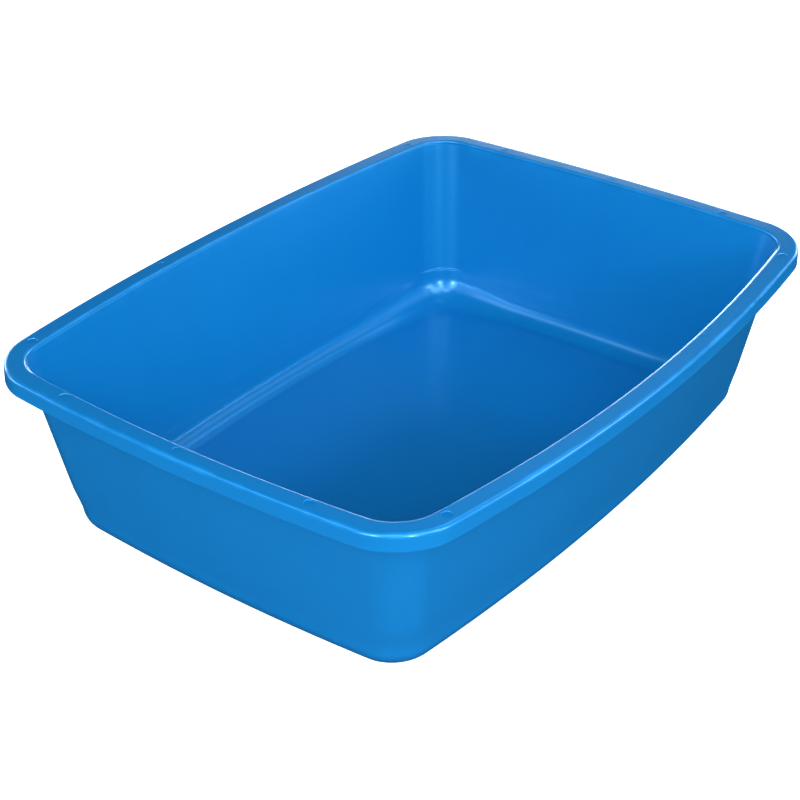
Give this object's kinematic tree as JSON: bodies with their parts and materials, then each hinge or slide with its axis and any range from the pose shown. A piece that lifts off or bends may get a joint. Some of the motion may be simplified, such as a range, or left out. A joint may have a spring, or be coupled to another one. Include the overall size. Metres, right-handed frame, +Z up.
{
  "type": "cat litter pan",
  "caption": "Open rectangular litter pan with bowed, tapered sides, rounded corners, a flat rim with a turned-down skirt and a flat base.",
  "frame": {"origin": "on the ground, below the middle of the pan", "axes": "+Z up; +X along the long side; +Y along the short side"},
  "size_m": [0.4804, 0.3588, 0.1234],
  "materials": {
    "blue_plastic": "glossy moulded polypropylene, mid blue, with faint flow marks and fine scuffs"
  },
  "bodies": {
    "root": {"pan": "blue_plastic"}
  },
  "joints": []
}
